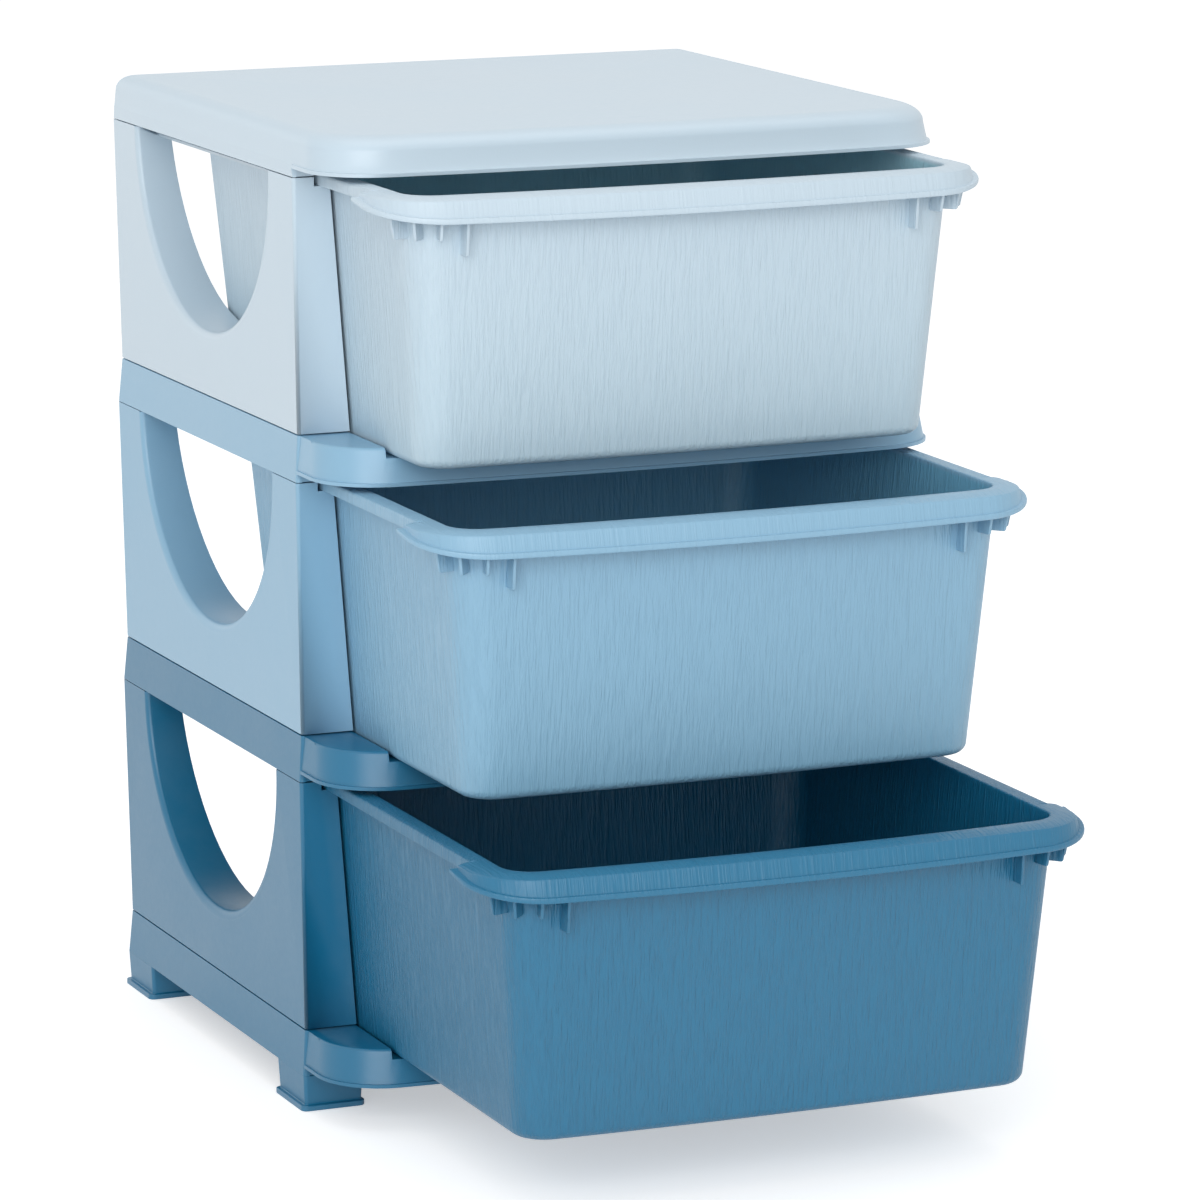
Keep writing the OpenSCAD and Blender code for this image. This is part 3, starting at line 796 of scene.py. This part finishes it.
def skirt_returns(node, tier):
    """The short front walls of a skirt, which close the step between a side panel and the
    raised edge of the lip, one at either side."""
    s = bpy.context.scene.tower_sizes
    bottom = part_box(node)[0].z
    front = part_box("lid")[1].y - 2 * s.half_depth
    # Fractions of a millimetre keep the walls' faces clear of those of the shell.
    near = Vector((s.channel, front + 0.0004, bottom + 0.0002))
    far = Vector((s.half_width - 0.0006, front + 0.0024, bottom + s.lip_step + 0.001))
    size, middle = far - near, (near + far) / 2
    bm = bmesh.new()
    for side in (-1, 1):
        made = bmesh.ops.create_cube(bm, size=1.0)["verts"]
        place = Matrix.Translation((side * middle.x, middle.y, middle.z))
        bmesh.ops.transform(bm, verts=made, matrix=place @ Matrix.Diagonal((*size, 1)))
    mesh = bpy.data.meshes.new(f"{node}_skirt_returns")
    bm.to_mesh(mesh)
    bm.free()
    soften(add_piece(mesh, finish_of(tier, "shell"), "tower", node), 0.0003)


# ---- Stage ----

IMAGE = 1200.0                  # width and height of the picture in pixels
FOCAL_PX = 6076.1
CENTRE_PX = (553.8, 616.8)      # optical centre, from the upper left corner
TURN, TILT, ROLL = 22.42, 11.30, -0.27
CAMERA_FROM_BODY = (-1.3254, -3.2903, 0.9515)
AMBIENT = 0.64
FLOOR_GLOW = 0.45


def seen_mask(tree):
    """1 for rays that come from the camera, straight, by reflection or through a piece."""
    path = tree.nodes.new("ShaderNodeLightPath")
    seen = maths(tree, "ADD", path.outputs["Is Camera Ray"], path.outputs["Is Glossy Ray"], True)
    return maths(tree, "ADD", seen, path.outputs["Is Transmission Ray"], True)


def build_floor():
    """A wide floor that takes shadows; its glow, which lights nothing, makes it white."""
    half = 30.0
    mesh = bpy.data.meshes.new("studio_floor")
    mesh.from_pydata([(-half, -half, 0), (half, -half, 0), (half, half, 0), (-half, half, 0)],
                     [], [(0, 1, 2, 3)])
    floor = bpy.data.objects.new("studio_floor", mesh)
    bpy.context.scene.collection.objects.link(floor)
    mat = bpy.data.materials.new("studio_floor")
    mat.use_nodes = True
    tree = mat.node_tree
    shader = tree.nodes["Principled BSDF"]
    shader.inputs["Base Color"].default_value = (*bpy.context.scene.tower_colours.floor, 1)
    shader.inputs["Roughness"].default_value = 0.9
    shader.inputs["Specular IOR Level"].default_value = 0.0
    shader.inputs["Emission Color"].default_value = (1, 1, 1, 1)
    feed(tree, shader.inputs["Emission Strength"],
         maths(tree, "MULTIPLY", seen_mask(tree), FLOOR_GLOW))
    mesh.materials.append(mat)


def build_world():
    """White where it is seen, and a weaker even light everywhere else."""
    world = bpy.data.worlds.new("studio")
    bpy.context.scene.world = world
    world.use_nodes = True
    tree = world.node_tree
    back = tree.nodes["Background"]
    back.inputs["Color"].default_value = (1, 1, 1, 1)
    feed(tree, back.inputs["Strength"], maths(
        tree, "ADD", AMBIENT, maths(tree, "MULTIPLY", seen_mask(tree), 1 - AMBIENT)))


def lamp(name, place, target, size, power):
    data = bpy.data.lights.new(name, "AREA")
    data.shape = "RECTANGLE"
    data.size, data.size_y = size
    data.energy = power
    obj = bpy.data.objects.new(name, data)
    bpy.context.scene.collection.objects.link(obj)
    obj.location = place
    obj.rotation_euler = (Vector(target) - Vector(place)).to_track_quat("-Z", "Y").to_euler()


def build_lamps():
    lamp("front_softbox", (-1.7, -3.1, 1.6), (0, -0.1, 0.28), (3.0, 2.2), 60)
    lamp("rear_softbox", (-1.5, 3.5, 1.0), (-0.1, 0.1, 0.28), (1.8, 2.0), 6)
    lamp("top_softbox", (0.2, 0.3, 3.2), (0, 0, 0.3), (2.4, 2.4), 16)


def build_camera():
    """The camera's axes come from a turn about Z, a tilt down and a small roll; the optical
    centre lies off the middle of the picture, which the shift repeats."""
    az, el, roll = (math.radians(v) for v in (TURN, TILT, ROLL))
    ahead = np.array([math.sin(az) * math.cos(el), math.cos(az) * math.cos(el),
                      -math.sin(el)])
    right = np.array([math.cos(az), -math.sin(az), 0.0])
    up = np.cross(right, ahead)
    turned = math.cos(roll) * right + math.sin(roll) * up
    upright = -math.sin(roll) * right + math.cos(roll) * up
    middle_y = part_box("lid")[1].y - bpy.context.scene.tower_sizes.half_depth
    x, y, z = CAMERA_FROM_BODY
    data = bpy.data.cameras.new("camera")
    data.sensor_width = 36.0
    data.lens = FOCAL_PX / IMAGE * data.sensor_width
    data.shift_x = (IMAGE / 2 - CENTRE_PX[0]) / IMAGE
    data.shift_y = (CENTRE_PX[1] - IMAGE / 2) / IMAGE
    data.clip_end = 100.0
    obj = bpy.data.objects.new("camera", data)
    bpy.context.scene.collection.objects.link(obj)
    basis = Matrix([[turned[i], upright[i], -ahead[i]] for i in range(3)])
    obj.matrix_world = Matrix.Translation((x, y + middle_y, z)) @ basis.to_4x4()
    bpy.context.scene.camera = obj


# ---- Operators ----

class TowerOperator:
    bl_options = {"REGISTER", "UNDO"}


class TOWER_OT_stage(TowerOperator, bpy.types.Operator):
    """Set up the pale floor, the soft studio light and the camera"""
    bl_idname = "tower.stage"
    bl_label = "Studio"

    def execute(self, context):
        build_floor()
        build_world()
        build_lamps()
        build_camera()
        context.scene.view_settings.view_transform = "Standard"
        return {"FINISHED"}


class TOWER_OT_lid(TowerOperator, bpy.types.Operator):
    """Build the lid with its rounded edges and bowed front"""
    bl_idname = "tower.lid"
    bl_label = "Lid"

    def execute(self, context):
        build_lid()
        return {"FINISHED"}


class TOWER_OT_panels(TowerOperator, bpy.types.Operator):
    """Build the six side panels"""
    bl_idname = "tower.panels"
    bl_label = "Side panels"

    def execute(self, context):
        for tier in TIERS:
            for side in ("left", "right"):
                build_panel(f"{side}_panel_{tier}", tier)
        return {"FINISHED"}


class TOWER_OT_shelves(TowerOperator, bpy.types.Operator):
    """Build both shelves and the base"""
    bl_idname = "tower.shelves"
    bl_label = "Shelves and base"

    def execute(self, context):
        build_shelf("upper_shelf", "middle")
        build_shelf("lower_shelf", "bottom")
        build_shelf("base", "bottom")
        return {"FINISHED"}


class TOWER_OT_feet(TowerOperator, bpy.types.Operator):
    """Build the four flared feet"""
    bl_idname = "tower.feet"
    bl_label = "Feet"

    def execute(self, context):
        for end in ("front", "back"):
            for side in ("left", "right"):
                build_foot(f"foot_{end}_{side}")
        return {"FINISHED"}


class TOWER_OT_drawers(TowerOperator, bpy.types.Operator):
    """Build the three drawers with their handle lips and ribs"""
    bl_idname = "tower.drawers"
    bl_label = "Drawers"

    def execute(self, context):
        for tier in TIERS:
            build_drawer(tier)
        return {"FINISHED"}


class TOWER_PT_panel(bpy.types.Panel):
    """Lists the pieces of the tower and their sizes"""
    bl_idname = "TOWER_PT_panel"
    bl_label = "Drawer Tower"
    bl_space_type = "VIEW_3D"
    bl_region_type = "UI"
    bl_category = "Tower"

    def draw(self, context):
        for op in OPERATORS:
            self.layout.operator(op.bl_idname)
        for name in ("tower_colours", "tower_sizes", "drawer_sizes"):
            settings = getattr(context.scene, name)
            box = self.layout.box()
            for key in settings.__annotations__:
                box.prop(settings, key)


OPERATORS = (TOWER_OT_stage, TOWER_OT_lid, TOWER_OT_panels, TOWER_OT_shelves, TOWER_OT_feet,
             TOWER_OT_drawers)
SETTINGS = {"drawer_sizes": DrawerSizes, "tower_sizes": TowerSizes,
            "tower_colours": TowerColours}


def register():
    for cls in (*SETTINGS.values(), *OPERATORS, TOWER_PT_panel):
        bpy.utils.register_class(cls)
    for name, cls in SETTINGS.items():
        setattr(bpy.types.Scene, name, PointerProperty(type=cls))


def unregister():
    for name in SETTINGS:
        delattr(bpy.types.Scene, name)
    for cls in reversed((*SETTINGS.values(), *OPERATORS, TOWER_PT_panel)):
        bpy.utils.unregister_class(cls)


def main():
    register()
    bpy.ops.tower.stage()
    bpy.ops.tower.lid()
    bpy.ops.tower.panels()
    bpy.ops.tower.shelves()
    bpy.ops.tower.feet()
    bpy.ops.tower.drawers()


if __name__ == "__main__":
    main()
